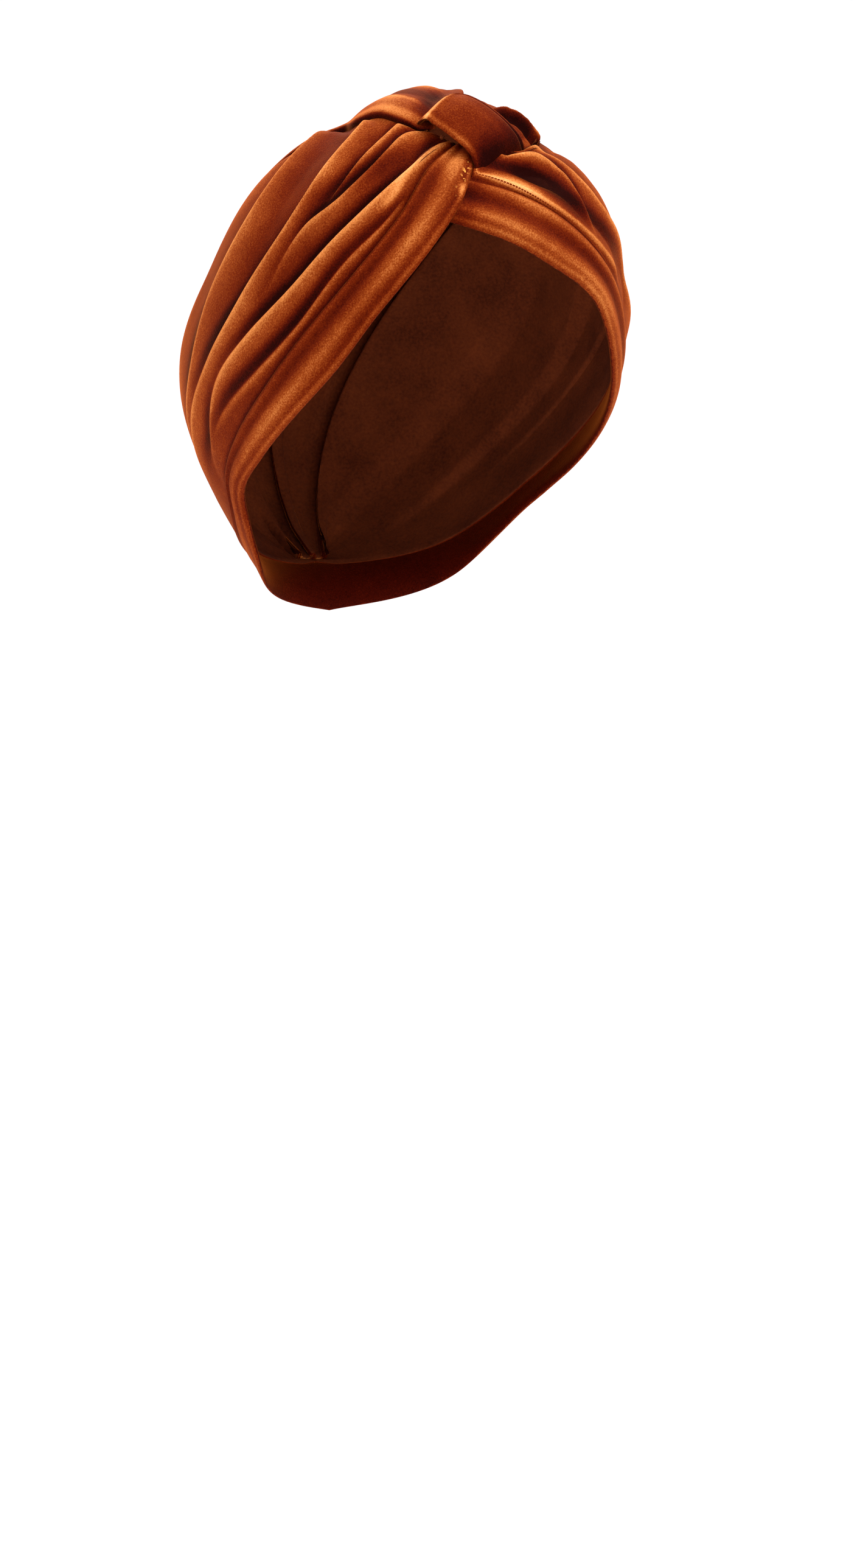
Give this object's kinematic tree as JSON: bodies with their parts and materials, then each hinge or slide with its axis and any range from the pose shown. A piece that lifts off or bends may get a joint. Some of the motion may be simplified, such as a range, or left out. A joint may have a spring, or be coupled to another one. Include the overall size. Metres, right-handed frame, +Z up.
{
  "type": "turban headwrap",
  "caption": "Pleated velvet turban headwrap with a hem band that crosses over the forehead under an interlocked twist knot, open at the face and neck",
  "frame": {"origin": "the point inside the crown where the cloth rests on the top of the head, straight above the middle of the head", "axes": "+Z up, the wearer faces -Y, -X is the wearer's right hand side"},
  "size_m": [0.1662, 0.2008, 0.1962],
  "materials": {
    "velvet": "rust coloured pile velvet"
  },
  "bodies": {
    "root": {"right_band": "velvet", "left_band": "velvet", "right_panel": "velvet", "left_panel": "velvet", "crown_drape": "velvet", "rear_fold": "velvet", "knot_loop": "velvet"}
  },
  "joints": []
}
